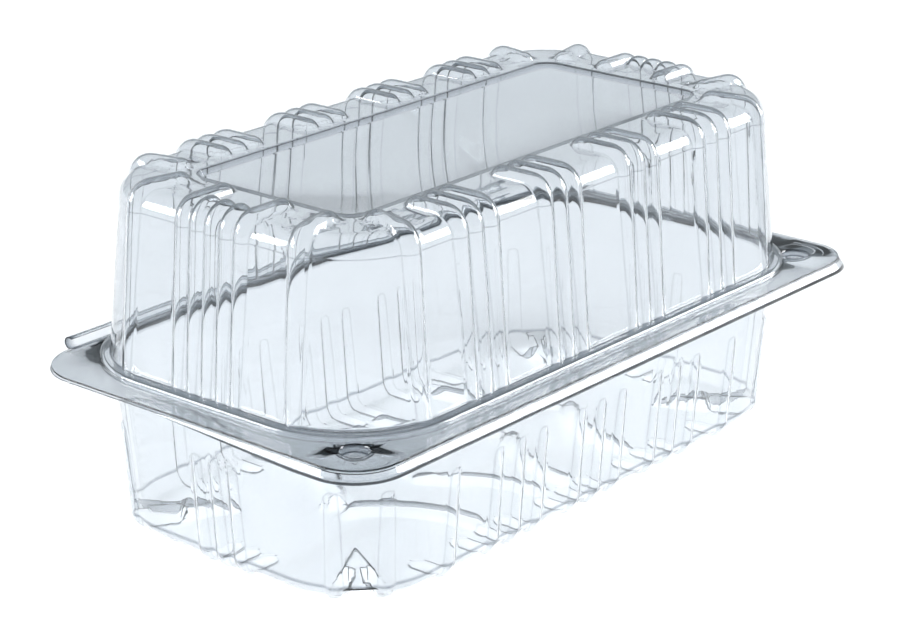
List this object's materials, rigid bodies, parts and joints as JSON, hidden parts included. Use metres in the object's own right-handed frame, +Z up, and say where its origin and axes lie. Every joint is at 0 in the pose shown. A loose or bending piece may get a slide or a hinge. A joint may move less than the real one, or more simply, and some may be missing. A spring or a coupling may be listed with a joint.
{
  "type": "plastic clamshell pack",
  "caption": "Long clear thermoformed food pack with a ribbed domed lid, a rolled back hinge, a nested rim bead and corner snaps.",
  "frame": {"origin": "on the floor, under the middle of the closed pack's bounding box", "axes": "+X along the pack's length, +Y towards the hinge, so -Y is the side that opens, +Z up"},
  "size_m": [0.2238, 0.1246, 0.1012],
  "materials": {
    "clear_sheet": "clear thermoformed PET sheet, glossy on both faces"
  },
  "bodies": {
    "base": {"tub": "clear_sheet"},
    "lid": {"lid": "clear_sheet"}
  },
  "joints": [
    {"name": "lid_hinge", "type": "hinge", "parent": "base", "child": "lid", "pos_m": [0, 0.0605, 0.0491], "axis": [-1, 0, 0], "range_deg": [0, 170]}
  ]
}
